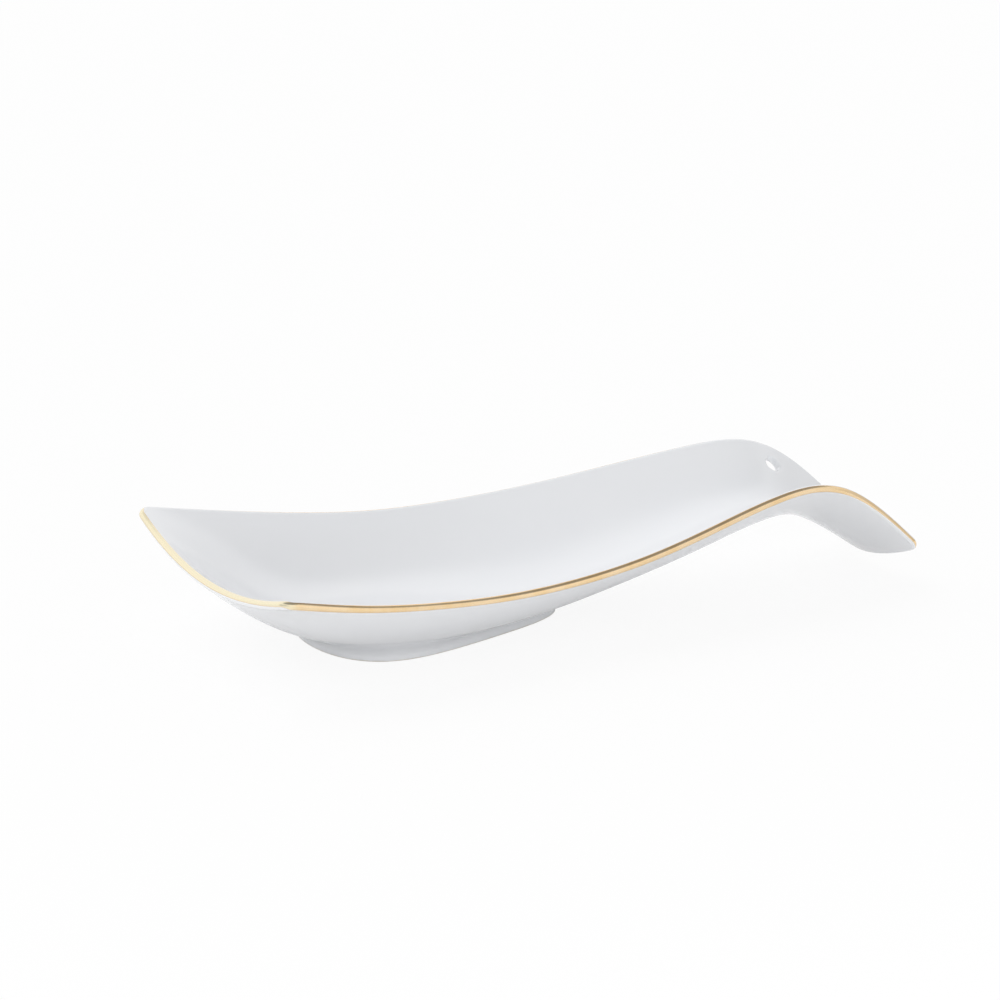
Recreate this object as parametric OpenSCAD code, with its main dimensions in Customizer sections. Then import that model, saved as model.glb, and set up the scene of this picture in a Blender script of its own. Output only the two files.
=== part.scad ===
// Spoon rest: one porcelain trough on an egg-shaped foot, with a gold band on its lip.
// The wide bowl end is at -X and the tail at +X. The foot stands on Z = 0.

/* [Dish] */
// Length between the two cut ends
body_length = 270; // [250:1:290]
// Greatest width between the two long rim lines
body_width = 128; // [120:1:136]
// Height of the crest above the table
crest_height = 43; // [40:0.5:46]
// Thickness of the porcelain wall
wall = 3; // [2.6:0.1:3.6]
// Rounding of the plan corners at the bowl end, half as large at the tail
corner_r = 4; // [2:0.5:6]

/* [Hanging hole] */
// Radius of the hole through the back wall
hole_r = 3; // [2.4:0.1:3.2]
// Place of the hole along the dish, as a share of its length
hole_along = 0.9; // [0.88:0.005:0.92]
// Place of the hole across the dish, 0 at the middle and 1 at the back edge
hole_across = 0.83; // [0.8:0.01:0.84]

/* [Foot] */
// Length of the foot along the dish
foot_length = 99; // [90:1:104]
// Half width of the foot at the middle of its length
foot_half = 28; // [24:0.5:30]
// Thickness of the ring at the table
foot_wall = 5; // [4:0.5:6]
// Height of the upright unglazed land
land_height = 1.5; // [1:0.1:2]
// Spread of the foot where it flows into the dish
foot_flare = 7; // [5:0.5:8]
// How much wider the flare is toward the bowl end, and narrower toward the tail
flare_lead = 0.4; // [0:0.1:0.5]

/* [Gold band] */
// Thickness of the gold as a solid
film = 0.2; // [0.1:0.05:0.3]
// First facet row of the lip under the gold, counted from the inner face
gold_first = 3; // [2:1:4]
// Last facet row of the lip under the gold
gold_last = 8; // [5:1:8]

/* [Fineness] */
// Facets along the dish
steps_along = 50; // [40:2:60]
// Facets across the dish
steps_across = 28; // [24:2:32]
// Facets along each rounded plan corner
steps_corner = 3; // [2:1:4]
// Facets around the half round lip
steps_lip = 9; // [8:1:10]
// Points around the foot
steps_foot = 72; // [48:4:96]

/* [Hidden] */

// The profile was drawn for a dish of this width and height and is scaled to the sizes above
drawn_width = 128;
drawn_height = 43;
// Control values at ten even stations from the bowl end to the tail
half_widths = [63, 64.5, 60.5, 56.5, 53.5, 49, 42.5, 35, 31.5, 31.5];
rim_heights = [38, 32, 28, 25.5, 26.5, 29.5, 35, 41, 43.5, 13.5];
depths = [10, 26, 23, 20.5, 21, 18.5, 16.5, 14.5, 17, 10];
// 0 is a round section and 1 a flat floor with steep sides
fullness = [0, 0.25, 1, 0.9, 0.3, 0.05, 0.25, 0.25, 0, 0];

width_scale = body_width / drawn_width;
height_scale = crest_height / drawn_height;
half_wall = wall / 2;
// How far the lip stands out of the rim line, so that the gold ends half a wall outside it
lip_reach = half_wall - film;
// Shares of the length and of the half width that the rounded corners take
bowl_share = corner_r / body_length;
tail_share = bowl_share / 2;
side_share = 2 * corner_r / body_width;
// Distance from the bowl end of the rim to the origin under the middle of the dish
origin_x = body_length / 2 - 1.35;
// Small step for the surface normal
nudge = 0.001;
// Length of the drill that makes the hanging hole
drill_length = 8;
// Middle of the foot, measured from the bowl end
foot_middle = 86.5;
// How far the foot is blunt toward the bowl end
foot_bluntness = [0.55, 0.3];
// Rows of facets in the flare above the land
flare_rows = 6;
// Short way back from the end of the flare that gives the slope of the dish there
slope_step = 0.5;
// Rounds that find the seat of a foot point on the underside of the dish
seat_rounds = 8;

porcelain = "whitesmoke";
biscuit = "linen";
gold = "goldenrod";

// Uniform cubic spline whose first and last control values are its ends
function with_ends(c) =
    let (n = len(c))
    concat([2 * c[0] - c[1]], c, [2 * c[n - 1] - c[n - 2]]);
function clamp(t) = min(max(t, 0), 1);
function spline(c, along) =
    let (p = with_ends(c), t = clamp(along) * (len(c) - 1), i = min(floor(t), len(c) - 2), f = t - i)
    (pow(1 - f, 3) * p[i]
        + (3 * pow(f, 3) - 6 * f * f + 4) * p[i + 1]
        + (3 * f + 3 * f * f - 3 * pow(f, 3) + 1) * p[i + 2]
        + pow(f, 3) * p[i + 3]) / 6;
function unit(a) = a / norm(a);

// Profile of the dish at a share of its length
function half_width(along) = spline(half_widths, along) * width_scale;
function rim_height(along) = spline(rim_heights, along) * height_scale - (height_scale - 1) * half_wall;
function rim_slope(along) =
    let (a = clamp(along - nudge), b = clamp(along + nudge))
    (rim_height(b) - rim_height(a)) / ((b - a) * body_length);

// Middle of the wall. across runs from -1 at the front rim to 1 at the back rim, and each section
// stands square to the rim line
function middle(along, across) =
    let (
        slope = rim_slope(along),
        k = spline(fullness, along),
        bowl = 1 - (1 - k) * pow(across, 2) - k * pow(across, 4),
        drop = spline(depths, along) * height_scale * bowl / sqrt(1 + slope * slope)
    )
    [along * body_length - origin_x + drop * slope, across * half_width(along), rim_height(along) - drop];
function upward(along, across) =
    let (a = clamp(along - nudge), b = clamp(along + nudge))
    unit(cross(middle(b, across) - middle(a, across), middle(along, across + nudge) - middle(along, across - nudge)));
function face_point(along, across, side) = middle(along, across) + side * half_wall * upward(along, across);

// Height of the underside above a point of the table
function seat(x, y, along, across, rounds) =
    let (p = face_point(along, across, -1))
    rounds == 0 ? p.z
        : seat(x, y, along + (x - p.x) / body_length, across + (y - p.y) / half_width(along), rounds - 1);
function underside(x, y) = seat(x, y, (x + origin_x) / body_length, y / (body_width / 2), seat_rounds);

// Grid lines along and across the dish, closer together in the rounded corners
function even(a, b, steps) = [for (k = [0 : steps - 1]) a + (b - a) * k / steps];
along_lines = concat(
    even(0, bowl_share, steps_corner),
    even(bowl_share, 1 - tail_share, steps_along),
    even(1 - tail_share, 1, steps_corner),
    [1]
);
across_lines = concat(
    even(-1, side_share - 1, steps_corner),
    even(side_share - 1, 1 - side_share, steps_across),
    even(1 - side_share, 1, steps_corner),
    [1]
);
rows = len(along_lines);
columns = len(across_lines);
sheet = rows * columns;

// Place of a grid point, moved so that the four plan corners become quarter rounds
function rounded(along, across) =
    let (
        y = clamp((abs(across) - 1 + side_share) / side_share),
        bowl = clamp(1 - along / bowl_share),
        tail = clamp(1 - (1 - along) / tail_share),
        x = max(bowl, tail),
        inset = 1 - x * sqrt(1 - y * y / 2),
        outset = 1 - side_share + side_share * y * sqrt(1 - x * x / 2)
    )
    [
        bowl > 0 ? bowl_share * inset : tail > 0 ? 1 - tail_share * inset : along,
        y > 0 ? sign(across) * outset : across
    ];
places = [for (along = along_lines, across = across_lines) rounded(along, across)];

// Grid numbers of the edge, in one turn round the dish
edge = concat(
    [for (i = [0 : rows - 2]) i * columns],
    [for (j = [0 : columns - 2]) (rows - 1) * columns + j],
    [for (i = [rows - 1 : -1 : 1]) i * columns + columns - 1],
    [for (j = [columns - 1 : -1 : 1]) j]
);
turns = len(edge);

// Middle of the wall, its normal and the way out of the dish at each point of the edge
rim_middle = [for (k = edge) middle(places[k][0], places[k][1])];
rim_up = [for (k = edge) upward(places[k][0], places[k][1])];
rim_out = [
    for (i = [0 : turns - 1])
        unit(cross(rim_middle[(i + 1) % turns] - rim_middle[(i + turns - 1) % turns], rim_up[i]))
];

// Point of a facet row of the lip, from row 0 on the inner face to the last row on the outer face
function lip_point(i, k, grow) =
    let (turn = 90 - 180 * k / steps_lip)
    rim_middle[i] + (half_wall + grow) * sin(turn) * rim_up[i] + (lip_reach + grow) * cos(turn) * rim_out[i];

// Egg-shaped outline of the foot, grown by a margin
function foot_point(turn, grow) =
    let (c = cos(turn), egg = 1 + foot_bluntness[0] * c + foot_bluntness[1] * c * c)
    [foot_middle - origin_x - (foot_length / 2 + grow) * c, -(foot_half + grow) * sin(turn) * egg];
foot_turns = [for (i = [0 : steps_foot - 1]) -360 * i / steps_foot];
function foot_outline(grow) = [for (turn = foot_turns) foot_point(turn, grow)];
function flare_reach(turn) = foot_flare * (1 + flare_lead * cos(turn));

// Point of the flare: upright at the land, and in line with the underside of the dish at its end
function flare_point(turn, share) =
    let (
        reach = flare_reach(turn),
        last = foot_point(turn, reach),
        before = foot_point(turn, reach - slope_step),
        top = underside(last.x, last.y),
        slope = (top - underside(before.x, before.y)) / slope_step,
        bend = max(top - slope * reach, land_height),
        p = foot_point(turn, reach * share * share)
    )
    [p.x, p.y, pow(1 - share, 2) * land_height + 2 * share * (1 - share) * bend + share * share * top];

// Point of the top of the foot, on the underside of the dish
function seat_point(turn, grow) =
    let (p = foot_point(turn, grow))
    [p.x, p.y, underside(p.x, p.y)];

// Quads between neighbouring rings of points that close on themselves
function ring_faces(rings, count) = [
    for (r = [0 : rings - 1], i = [0 : count - 1])
        let (j = (i + 1) % count, s = (r + 1) % rings)
        [r * count + i, r * count + j, s * count + j, s * count + i]
];

// The trough with its two faces and the half-round lip that joins them
module shell() {
    faces_points = [for (side = [1, -1], p = places) face_point(p[0], p[1], side)];
    lip_points = [for (k = [1 : steps_lip - 1], i = [0 : turns - 1]) lip_point(i, k, 0)];
    top = [
        for (i = [0 : rows - 2], j = [0 : columns - 2])
            let (a = i * columns + j)
            [a, a + 1, a + columns + 1, a + columns]
    ];
    bottom = [for (f = top) [f[3] + sheet, f[2] + sheet, f[1] + sheet, f[0] + sheet]];
    // Number of a point of the lip: its first and last rows are the edges of the two faces
    function lip_index(k, i) =
        k == 0 ? edge[i] : k == steps_lip ? edge[i] + sheet : 2 * sheet + (k - 1) * turns + i;
    lip = [
        for (k = [0 : steps_lip - 1], i = [0 : turns - 1])
            let (j = (i + 1) % turns)
            [lip_index(k, i), lip_index(k, j), lip_index(k + 1, j), lip_index(k + 1, i)]
    ];
    polyhedron(concat(faces_points, lip_points), concat(top, bottom, lip), convexity = 6);
}

module dish() {
    spot = middle(hole_along, hole_across);
    way = upward(hole_along, hole_across);
    color(porcelain)
        difference() {
            shell();
            translate(spot)
                rotate([0, acos(way.z), atan2(way.y, way.x)])
                    cylinder(h = drill_length, r = hole_r, center = true, $fn = 48);
        }
}

// The foot: an upright land on the table, and a flare that flows into the underside of the dish
module foot_ring() {
    inner = -foot_wall;
    flare = [for (k = [0 : flare_rows], turn = foot_turns) flare_point(turn, k / flare_rows)];
    seat_middle = [for (turn = foot_turns) seat_point(turn, 0)];
    seat_inner = [for (turn = foot_turns) seat_point(turn, inner)];
    land_inner = [for (p = foot_outline(inner)) [p.x, p.y, land_height]];
    color(biscuit)
        union() {
            linear_extrude(land_height)
                difference() {
                    polygon(foot_outline(0));
                    polygon(foot_outline(inner));
                }
            polyhedron(
                concat(flare, seat_middle, seat_inner, land_inner),
                ring_faces(flare_rows + 4, steps_foot),
                convexity = 4
            );
        }
}

// The gold covers the outer side of the lip and leaves its inner edge white
module gold_rim() {
    rows_down = [for (k = [gold_first : gold_last]) k];
    rows_up = [for (k = [gold_last : -1 : gold_first]) k];
    points = concat(
        [for (k = rows_down, i = [0 : turns - 1]) lip_point(i, k, film)],
        [for (k = rows_up, i = [0 : turns - 1]) lip_point(i, k, 0)]
    );
    color(gold)
        polyhedron(points, ring_faces(2 * len(rows_down), turns), convexity = 6);
}

dish();
foot_ring();
gold_rim();
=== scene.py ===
"""Spoon rest: glazed porcelain dish, its foot ring and the fired gold on its lip, in a white studio."""
import math

import bpy
import numpy as np
from mathutils import Matrix, Vector


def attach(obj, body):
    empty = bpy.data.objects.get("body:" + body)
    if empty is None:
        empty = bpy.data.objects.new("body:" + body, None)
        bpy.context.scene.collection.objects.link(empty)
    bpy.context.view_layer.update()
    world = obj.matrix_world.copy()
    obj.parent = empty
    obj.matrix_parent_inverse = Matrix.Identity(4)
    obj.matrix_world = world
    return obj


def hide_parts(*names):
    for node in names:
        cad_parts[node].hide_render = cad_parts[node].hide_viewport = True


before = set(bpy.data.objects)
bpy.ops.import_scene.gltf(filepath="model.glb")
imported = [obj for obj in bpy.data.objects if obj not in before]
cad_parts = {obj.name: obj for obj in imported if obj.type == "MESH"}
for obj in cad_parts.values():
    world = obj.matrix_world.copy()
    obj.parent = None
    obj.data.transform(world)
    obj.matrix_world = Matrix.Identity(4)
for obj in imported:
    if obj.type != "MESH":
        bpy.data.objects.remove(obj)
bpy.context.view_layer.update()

# Sizes of the dish in millimetres, the same as in the part's source
BODY_LENGTH = 270.0
ORIGIN_X = BODY_LENGTH / 2 - 1.35
HALF_WALL = 1.5
HALF_WIDTHS = (63, 64.5, 60.5, 56.5, 53.5, 49, 42.5, 35, 31.5, 31.5)
RIM_HEIGHTS = (38, 32, 28, 25.5, 26.5, 29.5, 35, 41, 43.5, 13.5)
DEPTHS = (10, 26, 23, 20.5, 21, 18.5, 16.5, 14.5, 17, 10)
FULLNESS = (0, 0.25, 1, 0.9, 0.3, 0.05, 0.25, 0.25, 0, 0)
HOLE_ALONG, HOLE_ACROSS, HOLE_R = 0.9, 0.83, 3.0
FOOT_MIDDLE = 86.5
FOOT_LENGTH, FOOT_HALF, FOOT_WALL = 99.0, 28.0, 5.0
FOOT_BLUNTNESS = (0.55, 0.3)
LAND_HEIGHT, FOOT_FLARE, FLARE_LEAD = 1.5, 7.0, 0.4
LIP_REACH = 1.3
# Arcs of the lip under the gold, in degrees from its outermost line toward the inner face:
# on the long sides, on the bowl end and round the tail
GOLD_SIDE, GOLD_BOWL, GOLD_TAIL = (50.0, -86.0), (84.0, -30.0), (20.0, -32.0)
# X where the top and the bottom of the gold start to draw in toward the tail, and where both are done
GOLD_NARROWS, GOLD_NARROWED = (45.0, 95.0), 133.0

# Fineness of the meshes
STEPS_ALONG, STEPS_ACROSS, STEPS_CORNER, STEPS_LIP = 186, 80, 9, 16
STEPS_FOOT = 288
# Rounding of the four plan corners: shares of the length at the bowl end and at the tail,
# and of the half width
BOWL_CORNER, TAIL_CORNER, SIDE_CORNER = 4 / 270, 2 / 270, 4 / 64
HOLE_FILLET = 0.8
SHARP_DEGREES = 50
MM = 0.001


def spline(controls, along):
    """Uniform cubic spline that starts at its first control value and ends at its last."""
    c = np.asarray(controls, float)
    p = np.concatenate([[2 * c[0] - c[1]], c, [2 * c[-1] - c[-2]]])
    t = np.clip(along, 0, 1) * (len(c) - 1)
    i = np.minimum(np.floor(t).astype(int), len(c) - 2)
    f = t - i
    return ((1 - f) ** 3 * p[i] + (3 * f**3 - 6 * f**2 + 4) * p[i + 1]
            + (3 * f + 3 * f**2 - 3 * f**3 + 1) * p[i + 2] + f**3 * p[i + 3]) / 6


def soft_step(value):
    """Eases from 0 to 1 as the value does."""
    value = np.clip(value, 0, 1)
    return value**2 * (3 - 2 * value)


def unit(vectors):
    return vectors / np.linalg.norm(vectors, axis=-1, keepdims=True)


def middle(along, across):
    """Middle of the porcelain wall, each section square to the rim line."""
    along, across = np.broadcast_arrays(np.asarray(along, float), np.asarray(across, float))
    nudge = 0.001
    low, high = np.clip(along - nudge, 0, 1), np.clip(along + nudge, 0, 1)
    slope = (spline(RIM_HEIGHTS, high) - spline(RIM_HEIGHTS, low)) / ((high - low) * BODY_LENGTH)
    full = spline(FULLNESS, along)
    bowl = 1 - (1 - full) * across**2 - full * across**4
    drop = spline(DEPTHS, along) * bowl / np.sqrt(1 + slope**2)
    return np.stack([along * BODY_LENGTH - ORIGIN_X + drop * slope,
                     across * spline(HALF_WIDTHS, along), spline(RIM_HEIGHTS, along) - drop], -1)


def upward(along, across):
    """Unit vector square to the wall, on the side of the food."""
    along, across = np.broadcast_arrays(np.asarray(along, float), np.asarray(across, float))
    nudge = 0.001
    low, high = np.clip(along - nudge, 0, 1), np.clip(along + nudge, 0, 1)
    lengthways = middle(high, across) - middle(low, across)
    return unit(np.cross(lengthways, middle(along, across + nudge) - middle(along, across - nudge)))


def make_piece(name, points, faces, node, material, pooling=None):
    """A smooth mesh piece in millimetres that stands for one node of the part."""
    mesh = bpy.data.meshes.new(name)
    mesh.from_pydata((np.asarray(points) * MM).tolist(), [], faces)
    mesh.validate()
    mesh.shade_smooth()
    mesh.set_sharp_from_angle(angle=math.radians(SHARP_DEGREES))
    if pooling is not None:
        layer = mesh.attributes.new("pooling", "FLOAT", "POINT")
        layer.data.foreach_set("value", np.asarray(pooling, np.float32))
    mesh.materials.append(material)
    piece = bpy.data.objects.new(name, mesh)
    bpy.context.scene.collection.objects.link(piece)
    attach(piece, "root")
    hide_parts(node)


# The dish

def grid_lines():
    """Lines of the grid along and across the dish, closer together in the corners."""
    along = np.concatenate([np.linspace(0, BOWL_CORNER, STEPS_CORNER)[:-1],
                            np.linspace(BOWL_CORNER, 1 - TAIL_CORNER, STEPS_ALONG),
                            np.linspace(1 - TAIL_CORNER, 1, STEPS_CORNER)[1:]])
    side = 1 - SIDE_CORNER
    across = np.concatenate([np.linspace(-1, -side, STEPS_CORNER)[:-1],
                             np.linspace(-side, side, STEPS_ACROSS),
                             np.linspace(side, 1, STEPS_CORNER)[1:]])
    return along, across


def rounded_plan(along, across):
    """Moves the grid so that the four corners of the plan become quarter rounds."""
    side = 1 - SIDE_CORNER
    y = np.clip((np.abs(across) - side) / SIDE_CORNER, 0, 1)
    for corner, end, way in ((BOWL_CORNER, 0.0, 1.0), (TAIL_CORNER, 1.0, -1.0)):
        x = np.clip(1 - (along - end) * way / corner, 0, 1)
        inside = (x > 0) & (y > 0)
        round_along = end + way * corner * (1 - x * np.sqrt(1 - y**2 / 2))
        round_across = np.sign(across) * (side + SIDE_CORNER * y * np.sqrt(1 - x**2 / 2))
        along, across = np.where(inside, round_along, along), np.where(inside, round_across, across)
    return along, across


def hole_frame():
    """Middle of the hanging hole with two directions in the wall and the one square to it."""
    nudge = 0.001
    spot, way = middle(HOLE_ALONG, HOLE_ACROSS), upward(HOLE_ALONG, HOLE_ACROSS)
    first = unit(middle(HOLE_ALONG + nudge, HOLE_ACROSS) - middle(HOLE_ALONG - nudge, HOLE_ACROSS))
    return spot, first, np.cross(way, first), way


def hole_places(radius, turns):
    """Along and across of the points at a radius round the hole."""
    spot, first, second, _ = hole_frame()
    goal = radius * np.stack([np.cos(turns), np.sin(turns)], -1)
    along, across = np.full(len(turns), HOLE_ALONG), np.full(len(turns), HOLE_ACROSS)
    step = 0.0005

    def flat(a, v):
        d = middle(a, v) - spot
        return np.stack([d @ first, d @ second], -1)

    for _ in range(6):
        here = flat(along, across)
        by_along = (flat(along + step, across) - here) / step
        by_across = (flat(along, across + step) - here) / step
        miss = goal - here
        area = by_along[:, 0] * by_across[:, 1] - by_along[:, 1] * by_across[:, 0]
        along = along + (miss[:, 0] * by_across[:, 1] - miss[:, 1] * by_across[:, 0]) / area
        across = across + (by_along[:, 0] * miss[:, 1] - by_along[:, 1] * miss[:, 0]) / area
    return along, across


def edge_loop(rows, columns):
    """Grid indices of the edge, in one turn round the dish."""
    return ([i * columns for i in range(rows - 1)]
            + [(rows - 1) * columns + j for j in range(columns - 1)]
            + [i * columns + columns - 1 for i in range(rows - 1, 0, -1)]
            + [j for j in range(columns - 1, 0, -1)])


def window_loop(i0, i1, j0, j1, columns):
    """Grid indices of the edge of the window that the hole's patch fills."""
    return ([i * columns + j0 for i in range(i0, i1)]
            + [i1 * columns + j for j in range(j0, j1)]
            + [i * columns + j1 for i in range(i1, i0, -1)]
            + [i0 * columns + j for j in range(j1, j0, -1)])


along_lines, across_lines = grid_lines()
ROWS, COLUMNS = len(along_lines), len(across_lines)
plan_along, plan_across = rounded_plan(*np.meshgrid(along_lines, across_lines, indexing="ij"))
wall_middle, wall_up = middle(plan_along, plan_across), upward(plan_along, plan_across)
rim_edge = edge_loop(ROWS, COLUMNS)
rim_spots, rim_up = wall_middle.reshape(-1, 3)[rim_edge], wall_up.reshape(-1, 3)[rim_edge]
rim_out = unit(np.cross(np.roll(rim_spots, -1, 0) - np.roll(rim_spots, 1, 0), rim_up))


def lip_loop(turn, grow=0.0):
    """One line of points round the half-round lip. A turn of 90 degrees is its inner face."""
    t = np.radians(np.broadcast_to(turn, len(rim_edge)))[:, None]
    return rim_spots + (HALF_WALL + grow) * np.sin(t) * rim_up + (LIP_REACH + grow) * np.cos(t) * rim_out


def band_faces(near, far):
    """Quads between two closed loops of point numbers."""
    near, far = [int(k) for k in near], [int(k) for k in far]
    return list(zip(near, near[1:] + near[:1], far[1:] + far[:1], far))


def hole_window():
    """First and last row, then first and last column, of the window in the grid that the hole needs."""
    nudge, margin = 0.01, 1.0
    reach = HOLE_R + HOLE_FILLET + margin
    lengthways = middle(HOLE_ALONG + nudge, HOLE_ACROSS) - middle(HOLE_ALONG - nudge, HOLE_ACROSS)
    sideways = middle(HOLE_ALONG, HOLE_ACROSS + nudge) - middle(HOLE_ALONG, HOLE_ACROSS - nudge)
    by_along, by_across = (reach * 2 * nudge / np.linalg.norm(way) for way in (lengthways, sideways))
    return (np.searchsorted(along_lines, HOLE_ALONG - by_along) - 1,
            np.searchsorted(along_lines, HOLE_ALONG + by_along),
            np.searchsorted(across_lines, HOLE_ACROSS - by_across) - 1,
            np.searchsorted(across_lines, HOLE_ACROSS + by_across))


def make_dish(material):
    """Both faces of the wall, the half-round lip between them and the patch round the hanging hole."""
    sheet = ROWS * COLUMNS
    pool_under, pool_patch, pool_bore, pool_lip = 0.35, 0.3, 0.1, 0.0
    points = [(wall_middle + side * HALF_WALL * wall_up).reshape(-1, 3) for side in (1, -1)]
    floor_share = (1 - plan_across**2).reshape(-1)
    pooling = [floor_share, pool_under * floor_share]
    i0, i1, j0, j1 = hole_window()
    faces = []

    def add_loop(loops, loop_points, pool):
        start = sum(len(p) for p in points)
        points.append(loop_points)
        pooling.append(np.full(len(loop_points), pool))
        loops.append(np.arange(start, start + len(loop_points)))

    for i in range(ROWS - 1):
        for j in range(COLUMNS - 1):
            if i0 <= i < i1 and j0 <= j < j1:
                continue
            a = i * COLUMNS + j
            quad = (a, a + COLUMNS, a + COLUMNS + 1, a + 1)
            faces.append(quad)
            faces.append(tuple(k + sheet for k in reversed(quad)))
    # The half-round lip, from the edge of the inner face to that of the outer one
    loops = [np.array(rim_edge)]
    for turn in np.linspace(90, -90, STEPS_LIP + 1)[1:-1]:
        add_loop(loops, lip_loop(turn), pool_lip)
    loops.append(np.array(rim_edge) + sheet)
    for near, far in zip(loops, loops[1:]):
        faces += band_faces(near, far)

    # The patch round the hanging hole: flat rings, a rounded mouth, the bore, and the same beyond it
    window = window_loop(i0, i1, j0, j1, COLUMNS)
    spot, first, second, way = hole_frame()
    outer_along = plan_along.reshape(-1)[window]
    outer_across = plan_across.reshape(-1)[window]
    away = middle(outer_along, outer_across) - spot
    turns = np.arctan2(away @ second, away @ first)
    mouth_along, mouth_across = hole_places(HOLE_R + HOLE_FILLET, turns)
    loops = [np.array(window)]

    def add_flat_loop(share, side):
        a = outer_along + share * (mouth_along - outer_along)
        v = outer_across + share * (mouth_across - outer_across)
        add_loop(loops, middle(a, v) + side * HALF_WALL * upward(a, v), pool_patch)

    flat_shares = (0.4, 0.75, 1.0)
    bends = np.radians((22.5, 45, 67.5, 90))
    profile = [(HOLE_R + HOLE_FILLET * (1 - math.sin(b)),
                HALF_WALL - HOLE_FILLET * (1 - math.cos(b)), b / bends[-1]) for b in bends]
    profile += [(HOLE_R, 0.0, 1.0)]
    profile += [(r, -h, s) for r, h, s in reversed(profile[:-1])]
    for share in flat_shares:
        add_flat_loop(share, 1)
    for radius, height, share in profile:
        a, v = hole_places(radius, turns)
        square = unit((1 - share) * upward(a, v) + share * way)
        add_loop(loops, middle(a, v) + height * square, pool_bore)
    for share in reversed(flat_shares):
        add_flat_loop(share, -1)
    loops.append(np.array(window) + sheet)
    for near, far in zip(loops, loops[1:]):
        faces += band_faces(near, far)
    make_piece("dish_porcelain", np.concatenate(points), faces, "dish", material,
               np.concatenate(pooling))


# The gold on the lip

def make_gold(material):
    """Fired film over the outer side of the lip, fading into the porcelain at both edges."""
    film, sunk, dip = 0.05, -0.12, 0.02
    turn_start, turn_length, steps_over = 0.3, 0.6, 17
    to_bowl = soft_step((-rim_out[:, 0] - turn_start) / turn_length)
    limits = []
    for side, bowl, tail, start in zip(GOLD_SIDE, GOLD_BOWL, GOLD_TAIL, GOLD_NARROWS):
        to_tail = soft_step((rim_spots[:, 0] - start) / (GOLD_NARROWED - start))
        limits.append(side + (bowl - side) * to_bowl + (tail - side) * to_tail)
    top, bottom = limits
    shares = np.linspace(0, 1, steps_over)
    profile = [(-dip, -dip)] + [(share, film) for share in shares] + [(1 + dip, -dip)]
    profile += [(share, sunk) for share in shares[::-2]]
    points = np.concatenate([lip_loop(top + share * (bottom - top), grow) for share, grow in profile])
    count, rings = len(rim_edge), len(profile)
    loops = np.arange(rings * count).reshape(rings, count)
    faces = [face for r in range(rings) for face in band_faces(loops[r], loops[(r + 1) % rings])]
    edge_share = [abs(2 * share - 1) for share, _ in profile]
    make_piece("gold_band", points, faces, "gold_rim", material, np.repeat(edge_share, count))


# The foot ring

def foot_plan(turn, grow):
    """Egg-shaped line on the table, at a distance outside the foot's outer edge."""
    c = np.cos(turn)
    egg = 1 + FOOT_BLUNTNESS[0] * c + FOOT_BLUNTNESS[1] * c * c
    return np.stack([FOOT_MIDDLE - ORIGIN_X - (FOOT_LENGTH / 2 + grow) * c,
                     -(FOOT_HALF + grow) * np.sin(turn) * egg], -1)


def underside(x, y):
    """Height of the underside of the dish over points of the table."""
    along, across = (x + ORIGIN_X) / BODY_LENGTH, y / HALF_WIDTHS[0]
    for _ in range(12):
        p = middle(along, across) - HALF_WALL * upward(along, across)
        along = along + (x - p[..., 0]) / BODY_LENGTH
        across = across + (y - p[..., 1]) / spline(HALF_WIDTHS, along)
    return (middle(along, across) - HALF_WALL * upward(along, across))[..., 2]


def make_foot(material):
    """Closed ring: ground face, outer flare, a root inside the dish's wall and the hollow side."""
    turns = np.linspace(0, 2 * math.pi, STEPS_FOOT, endpoint=False)
    bevel, sunk, root_inset, inner_flare = 0.45, 0.8, 0.3, 2.0
    corner_steps, flare_steps, hollow_steps, hollow_end = 5, 25, 10, 0.1
    loops = []

    def add_row(grow, height):
        loops.append(np.column_stack([foot_plan(turns, grow), np.broadcast_to(height, len(turns))]))

    # The ground face and its two rounded edges
    corner = np.radians(np.linspace(0, 90, corner_steps))
    for t in corner[::-1]:
        add_row(-FOOT_WALL + bevel * (1 - math.sin(t)), bevel * (1 - math.cos(t)))
    for t in corner:
        add_row(-bevel * (1 - math.sin(t)), bevel * (1 - math.cos(t)))
    # The flare: upright at the land, and in line with the underside of the dish at its end
    reach = FOOT_FLARE * (1 + FLARE_LEAD * np.cos(turns))
    slope_step = 0.5
    top = underside(*foot_plan(turns, reach).T)
    slope = (top - underside(*foot_plan(turns, reach - slope_step).T)) / slope_step
    bend = np.maximum(top - slope * reach, LAND_HEIGHT)
    for share in np.linspace(0, 1, flare_steps):
        rest = 1 - share
        add_row(reach * share**2, rest**2 * LAND_HEIGHT + 2 * share * rest * bend + share**2 * top)
    # The root inside the wall of the dish, then the hollow side
    for grow in (reach - root_inset, -FOOT_WALL + root_inset):
        add_row(grow, underside(*foot_plan(turns, grow).T) + sunk)
    for share in np.sin(np.linspace(math.pi / 2, hollow_end, hollow_steps)):
        grow = -FOOT_WALL - inner_flare * (1 - math.sqrt(1 - share**2))
        roof = underside(*foot_plan(turns, grow).T)
        add_row(grow, LAND_HEIGHT + share * (roof - LAND_HEIGHT))
    add_row(-FOOT_WALL, LAND_HEIGHT)
    count, rings = len(turns), len(loops)
    numbers = np.arange(rings * count).reshape(rings, count)
    faces = [face for r in range(rings) for face in band_faces(numbers[r], numbers[(r + 1) % rings])]
    make_piece("foot_porcelain", np.concatenate(loops), faces, "foot_ring", material)


# Materials

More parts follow.
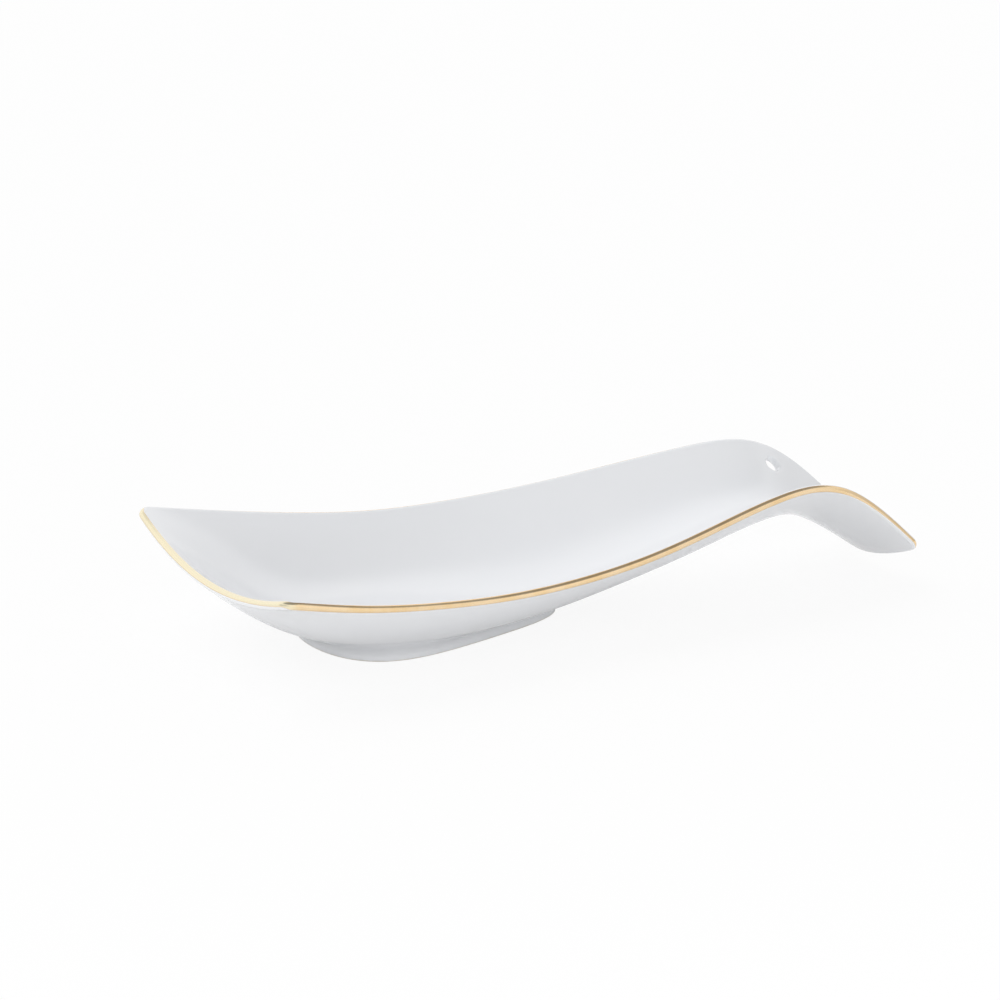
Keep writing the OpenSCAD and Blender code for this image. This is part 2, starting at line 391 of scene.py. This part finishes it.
class Wire:
    """A shader socket that takes part in sums and products."""

    def __init__(self, board, socket):
        self.board, self.socket = board, socket

    def maths(self, operation, *values):
        return self.board.node("ShaderNodeMath", {"operation": operation}, dict(enumerate(values)))

    def __add__(self, other):
        return self.maths("ADD", self, other)

    def __sub__(self, other):
        return self.maths("SUBTRACT", self, other)

    def __rsub__(self, other):
        return self.maths("SUBTRACT", other, self)

    def __mul__(self, other):
        return self.maths("MULTIPLY", self, other)

    def clipped(self):
        return self.board.node("ShaderNodeClamp", {}, {"Value": self})


class Board:
    """The node tree of one material or of the world."""

    def __init__(self, owner):
        owner.use_nodes = True
        self.tree = owner.node_tree
        self.tree.nodes.clear()

    def node(self, kind, settings=None, inputs=None, output=0):
        made = self.tree.nodes.new(kind)
        for name, value in (settings or {}).items():
            setattr(made, name, value)
        for name, value in (inputs or {}).items():
            if isinstance(value, Wire):
                self.tree.links.new(value.socket, made.inputs[name])
            else:
                made.inputs[name].default_value = value
        return Wire(self, made.outputs[output]) if len(made.outputs) else made

    def noise(self, scale, detail=2.0, roughness=0.5):
        return self.node("ShaderNodeTexNoise", {}, {"Vector": self.place(), "Scale": scale,
                                                    "Detail": detail, "Roughness": roughness})

    def place(self):
        return self.node("ShaderNodeTexCoord", output="Object")

    def axis(self, vector, name):
        return self.node("ShaderNodeSeparateXYZ", {}, {"Vector": vector}, output=name)

    def stored(self, name):
        return self.node("ShaderNodeAttribute", {"attribute_name": name}, output="Fac")

    def ray(self, kind):
        return self.node("ShaderNodeLightPath", output=kind)

    def blend(self, share, first, second):
        return self.node("ShaderNodeMixShader", {}, {0: share, 1: first, 2: second})

    def mix(self, share, first, second):
        return self.node("ShaderNodeMix", {"data_type": "RGBA"}, {0: share, 6: first, 7: second},
                         output=2)

    def step(self, value, low, high):
        return self.node("ShaderNodeMapRange", {"interpolation_type": "SMOOTHSTEP"},
                         {"Value": value, "From Min": low, "From Max": high})

    def bump(self, height, strength, distance):
        return self.node("ShaderNodeBump", {}, {"Height": height, "Strength": strength,
                                                "Distance": distance})

    def surface(self, inputs):
        return self.node("ShaderNodeBsdfPrincipled", {}, inputs)

    def finish(self, shader, kind="ShaderNodeOutputMaterial"):
        self.node(kind, {}, {"Surface": shader})


GLAZE = (0.86, 0.87, 0.89, 1)
GLAZE_POOLED = (0.835, 0.848, 0.875, 1)
GLAZE_THIN = (0.88, 0.885, 0.89, 1)


def glaze_surface(board, pooling):
    """Clear glaze on white porcelain: a faint wave, a cooler tone where it pools and thin pinpricks."""
    cloud = board.noise(38.0, 3.0)
    grain = board.noise(900.0, 2.0)
    pooled = ((cloud - 0.5) * 0.5 + pooling * 0.7).clipped()
    colour = board.mix(board.step(pooled, 0.1, 0.9), GLAZE, GLAZE_POOLED)
    colour = board.mix(board.step(grain, 0.62, 0.78) * 0.25, colour, GLAZE_THIN)
    wave = board.noise(70.0, 1.0) + grain * 0.06
    roughness = board.noise(55.0, 2.0) * 0.07 + 0.06
    return board.surface({"Base Color": colour, "Roughness": roughness, "IOR": 1.52,
                          "Normal": board.bump(wave, 0.12, 0.0004)})


def glaze_material():
    material = bpy.data.materials.new("porcelain_glaze")
    board = Board(material)
    board.finish(glaze_surface(board, board.stored("pooling")))
    return material


def foot_material():
    """Glazed sides, and bare fired clay on the ground face."""
    material = bpy.data.materials.new("foot_glaze_and_biscuit")
    board = Board(material)
    height = board.axis(board.place(), "Z")
    ragged = board.noise(420.0, 3.0)
    bare = 1 - board.step(height + (ragged - 0.5) * 0.0006, 0.00035, 0.00055)
    glaze = glaze_surface(board, board.step(height, 0.0, 0.006) * 0.8)
    speck = board.step(board.noise(2600.0, 2.0), 0.58, 0.7)
    clay = board.mix(speck * 0.5, (0.74, 0.7, 0.64, 1), (0.58, 0.53, 0.46, 1))
    clay = board.mix(board.step(board.noise(160.0, 3.0), 0.45, 0.75) * 0.4, clay, (0.68, 0.66, 0.63, 1))
    biscuit = board.surface({"Base Color": clay, "Roughness": board.noise(900.0, 2.0) * 0.2 + 0.65,
                             "Normal": board.bump(board.noise(1800.0, 3.0), 0.5, 0.0002)})
    board.finish(board.blend(bare, glaze, biscuit))
    return material


def gold_material():
    """Fired gold: bright and thin, with brush streaks, a painted highlight that makes it paler on the
    bowl end, and browner at its edges.
    """
    material = bpy.data.materials.new("fired_gold")
    board = Board(material)
    edge = board.stored("pooling")
    streak = board.noise(120.0, 4.0, 0.6)
    fine = board.noise(1500.0, 2.0)
    colour = board.mix(board.step(streak, 0.35, 0.7), (0.95, 0.735, 0.47, 1), (0.915, 0.67, 0.375, 1))
    # Painted highlight: the gold on the bowl end is painted paler, as where it catches the light.
    bowl_end_highlight = 1 - board.step(board.axis(board.place(), "X"), -0.134, -0.128)
    colour = board.mix(bowl_end_highlight, colour, (0.95, 0.86, 0.62, 1))
    colour = board.mix(board.step(edge, 0.7, 0.95), colour, (0.84, 0.61, 0.38, 1))
    roughness = board.noise(300.0, 3.0) * 0.16 + 0.12
    film = board.surface({"Base Color": colour, "Metallic": 1.0, "Roughness": roughness,
                          "Normal": board.bump(streak * 0.6 + fine * 0.25, 0.15, 0.0003)})
    thin = board.step(edge + (fine - 0.5) * 0.12, 0.84, 1.02)
    board.finish(board.blend(thin, film, glaze_surface(board, 0.0)))
    return material


# Studio

def grey(level):
    return level, level, level, 1.0


def floor_material():
    """White paper sweep, open from below. A share of plain white keeps it pale with a soft shadow."""
    material = bpy.data.materials.new("white_sweep")
    board = Board(material)
    fibre = board.mix(board.noise(14.0, 2.0), grey(0.86), grey(0.88))
    paper = board.node("ShaderNodeBsdfDiffuse", {}, {"Color": fibre})
    white = board.node("ShaderNodeEmission", {}, {"Color": grey(1.0), "Strength": 1.0})
    share = (board.ray("Is Camera Ray") * 0.9 + board.ray("Is Glossy Ray") * 0.3).clipped()
    below = board.node("ShaderNodeNewGeometry", output="Backfacing")
    clear = board.node("ShaderNodeBsdfTransparent")
    board.finish(board.blend(below, board.blend(share, paper, white), clear))
    return material


def make_floor():
    """The sweep lies a hair under the foot, so that the two faces stay apart."""
    mesh = bpy.data.meshes.new("sweep")
    half, level = 6.0, -0.0002
    corners = [(-half, -half, level), (half, -half, level), (half, half, level), (-half, half, level)]
    mesh.from_pydata(corners, [], [(0, 1, 2, 3)])
    mesh.materials.append(floor_material())
    floor = bpy.data.objects.new("sweep", mesh)
    bpy.context.scene.collection.objects.link(floor)


def make_world():
    """A white room with a dim ceiling over the front, and side walls that darken toward the floor."""
    world = bpy.data.worlds.new("studio")
    bpy.context.scene.world = world
    board = Board(world)
    way = board.node("ShaderNodeTexCoord", output="Generated")
    right, back, rise = (board.axis(way, name) for name in "XYZ")
    ceiling = (1 - board.step(back, 0.35, 0.7)) * board.step(rise, 0.58, 0.78)
    sides = board.step(right * right, 0.3, 0.8) * (1 - board.step(rise, 0.35, 0.65))
    mirrored = board.ray("Is Glossy Ray")
    light = board.mix(sides, grey(1.0), grey(0.65))
    light = board.mix(ceiling, light, board.mix(mirrored, grey(0.5), grey(0.3)))
    light = board.mix(board.ray("Is Camera Ray"), light, grey(1.0))
    board.finish(board.node("ShaderNodeBackground", {}, {"Color": light}), "ShaderNodeOutputWorld")


def make_lamp(name, azimuth, elevation, strength, spread):
    """A far softbox. Azimuth 0 is the front, at -Y, and 90 the tail, at +X."""
    lamp = bpy.data.lights.new(name, "SUN")
    lamp.energy, lamp.angle = strength, math.radians(spread)
    lamp_object = bpy.data.objects.new(name, lamp)
    a, e = math.radians(azimuth), math.radians(elevation)
    source = Vector((math.sin(a) * math.cos(e), -math.cos(a) * math.cos(e), math.sin(e)))
    lamp_object.rotation_euler = source.to_track_quat("Z", "Y").to_euler()
    lamp_object.visible_glossy = False
    bpy.context.scene.collection.objects.link(lamp_object)


def make_card(name, place, aim, size, level):
    """A white card just above the table that throws light back at the underside and the foot."""
    lamp = bpy.data.lights.new(name, "AREA")
    lamp.shape, lamp.size, lamp.size_y = "RECTANGLE", size[0], size[1]
    lamp.energy = level * math.pi * size[0] * size[1]
    lamp_object = bpy.data.objects.new(name, lamp)
    lamp_object.location = place
    lamp_object.rotation_euler = (Vector(place) - Vector(aim)).to_track_quat("Z", "Y").to_euler()
    lamp_object.visible_glossy = lamp_object.visible_camera = False
    bpy.context.scene.collection.objects.link(lamp_object)


def make_camera():
    """A long lens in front and to the left, as in the photograph."""
    turn, tilt = math.radians(26.52), math.radians(16.98)
    target = Vector((-0.0191, 0.0, 0.0435))
    distance = 2.6316
    ahead = Vector((math.sin(turn) * math.cos(tilt), math.cos(turn) * math.cos(tilt), -math.sin(tilt)))
    camera = bpy.data.cameras.new("camera")
    camera.lens, camera.sensor_width = 261.8, 36.0
    camera_object = bpy.data.objects.new("camera", camera)
    camera_object.matrix_world = (Matrix.Translation(target - distance * ahead)
                                  @ ahead.to_track_quat("-Z", "Y").to_matrix().to_4x4())
    bpy.context.scene.collection.objects.link(camera_object)
    bpy.context.scene.camera = camera_object


make_dish(glaze_material())
make_gold(gold_material())
make_foot(foot_material())
make_floor()
make_world()
make_lamp("back_softbox", azimuth=205, elevation=45, strength=1.28, spread=65)
make_card("front_card", place=(-0.03, -0.6, 0.125), aim=(-0.03, 0.0, 0.012), size=(0.8, 0.25), level=0.62)
make_card("left_card", place=(-0.6, -0.2, 0.11), aim=(-0.1, -0.02, 0.016), size=(0.5, 0.22), level=0.7)
make_camera()
bpy.context.scene.view_settings.view_transform = "Standard"
